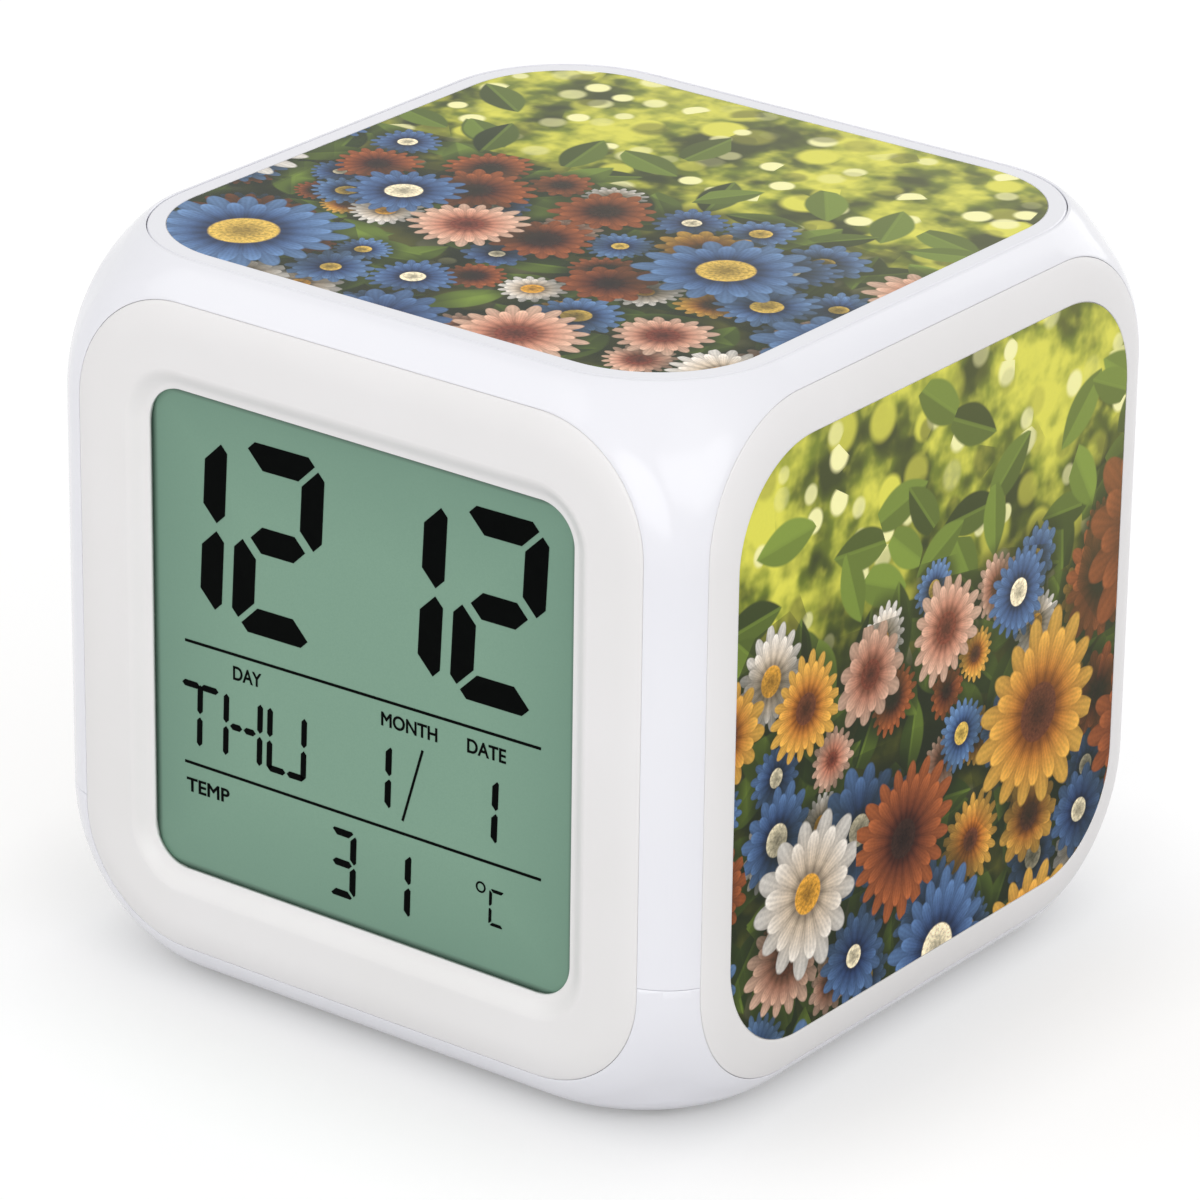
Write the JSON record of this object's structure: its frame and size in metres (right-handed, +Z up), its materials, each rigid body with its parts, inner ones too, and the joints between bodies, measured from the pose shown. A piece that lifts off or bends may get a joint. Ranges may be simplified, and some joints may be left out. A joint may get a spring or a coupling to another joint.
{
  "type": "digital alarm clock",
  "caption": "Rounded-cube digital alarm clock with a square display, pictures let into the sides and top, a press-down top plate, rear buttons and a battery bay with a hinged door.",
  "frame": {"origin": "on the surface it stands on, under the middle of the body", "axes": "+Z up, the display faces -Y, +X to the right as the display is read"},
  "size_m": [0.08, 0.08, 0.0764],
  "materials": {
    "frame_white": "glossy moulded, cool white",
    "panel_white": "glossy moulded, warm white",
    "printed_sheet": "glossy printed sheet, sunlit garden",
    "display": "matt polariser, grey-green with black segments",
    "inner_white": "moulded",
    "circuit_board": "solder mask over glass laminate",
    "black_plastic": "moulded",
    "rubber": "matt rubber",
    "clear_plastic": "clear moulded lens",
    "zinc_steel": "bright zinc plate",
    "spring_steel": "nickel plate",
    "cell_jacket": "plain printed jacket, bright ends",
    "red_insulation": "wire insulation",
    "black_insulation": "wire insulation"
  },
  "bodies": {
    "case": {"base_frame": "frame_white", "base_screw_1": "zinc_steel", "base_screw_2": "zinc_steel", "base_screw_3": "zinc_steel", "base_screw_4": "zinc_steel", "battery_box": "inner_white", "battery_lead_minus": "black_insulation", "battery_lead_plus": "red_insulation", "board_screw_1": "zinc_steel", "board_screw_2": "zinc_steel", "board_screw_3": "zinc_steel", "board_screw_4": "zinc_steel", "buzzer": "black_plastic", "cell_1": "cell_jacket", "cell_2": "cell_jacket", "cell_3": "cell_jacket", "cell_4": "cell_jacket", "contact_bridge_left": "spring_steel", "contact_bridge_right_1": "spring_steel", "contact_bridge_right_2": "spring_steel", "contact_minus": "spring_steel", "contact_plus": "spring_steel", "controller_chip": "black_plastic", "foot_1": "rubber", "foot_2": "rubber", "foot_3": "rubber", "foot_4": "rubber", "front_bezel": "panel_white", "glow_led_left": "clear_plastic", "glow_led_right": "clear_plastic", "key_board": "circuit_board", "key_screw_1": "zinc_steel", "key_screw_2": "zinc_steel", "key_switch_1": "black_plastic", "key_switch_2": "black_plastic", "key_switch_3": "black_plastic", "key_switch_4": "black_plastic", "lcd_glass": "display", "lcd_holder": "inner_white", "left_panel": "panel_white", "left_picture": "printed_sheet", "main_board": "circuit_board", "plate_spring_1": "spring_steel", "plate_spring_2": "spring_steel", "plate_spring_3": "spring_steel", "plate_spring_4": "spring_steel", "rear_panel": "panel_white", "right_panel": "panel_white", "right_picture": "printed_sheet", "snooze_switch": "black_plastic", "upper_frame": "frame_white", "zebra_strip": "rubber"},
    "plate": {"top_plate": "frame_white", "top_picture": "printed_sheet", "snooze_stem": "inner_white"},
    "mode_key": {"button_mode": "panel_white"},
    "set_key": {"button_set": "panel_white"},
    "up_key": {"button_up": "panel_white"},
    "down_key": {"button_down": "panel_white"},
    "door": {"battery_door": "panel_white"}
  },
  "joints": [
    {"name": "plate_press", "type": "slide", "parent": "case", "child": "plate", "axis": [0, 0, -1], "range_m": [0, 0.0008], "stiffness_N_per_m": 500, "springref_m": -0.0012, "deforming": ["plate_spring_1", "plate_spring_2", "plate_spring_3", "plate_spring_4"]},
    {"name": "mode_press", "type": "slide", "parent": "case", "child": "mode_key", "axis": [0, -1, 0], "range_m": [0, 0.0007], "stiffness_N_per_m": 300, "springref_m": -0.0006},
    {"name": "set_press", "type": "slide", "parent": "case", "child": "set_key", "axis": [0, -1, 0], "range_m": [0, 0.0007], "stiffness_N_per_m": 300, "springref_m": -0.0006},
    {"name": "up_press", "type": "slide", "parent": "case", "child": "up_key", "axis": [0, -1, 0], "range_m": [0, 0.0007], "stiffness_N_per_m": 300, "springref_m": -0.0006},
    {"name": "down_press", "type": "slide", "parent": "case", "child": "down_key", "axis": [0, -1, 0], "range_m": [0, 0.0007], "stiffness_N_per_m": 300, "springref_m": -0.0006},
    {"name": "door_hinge", "type": "hinge", "parent": "case", "child": "door", "pos_m": [0, 0.04, 0.0111], "axis": [-1, 0, 0], "range_deg": [0, 75]}
  ]
}
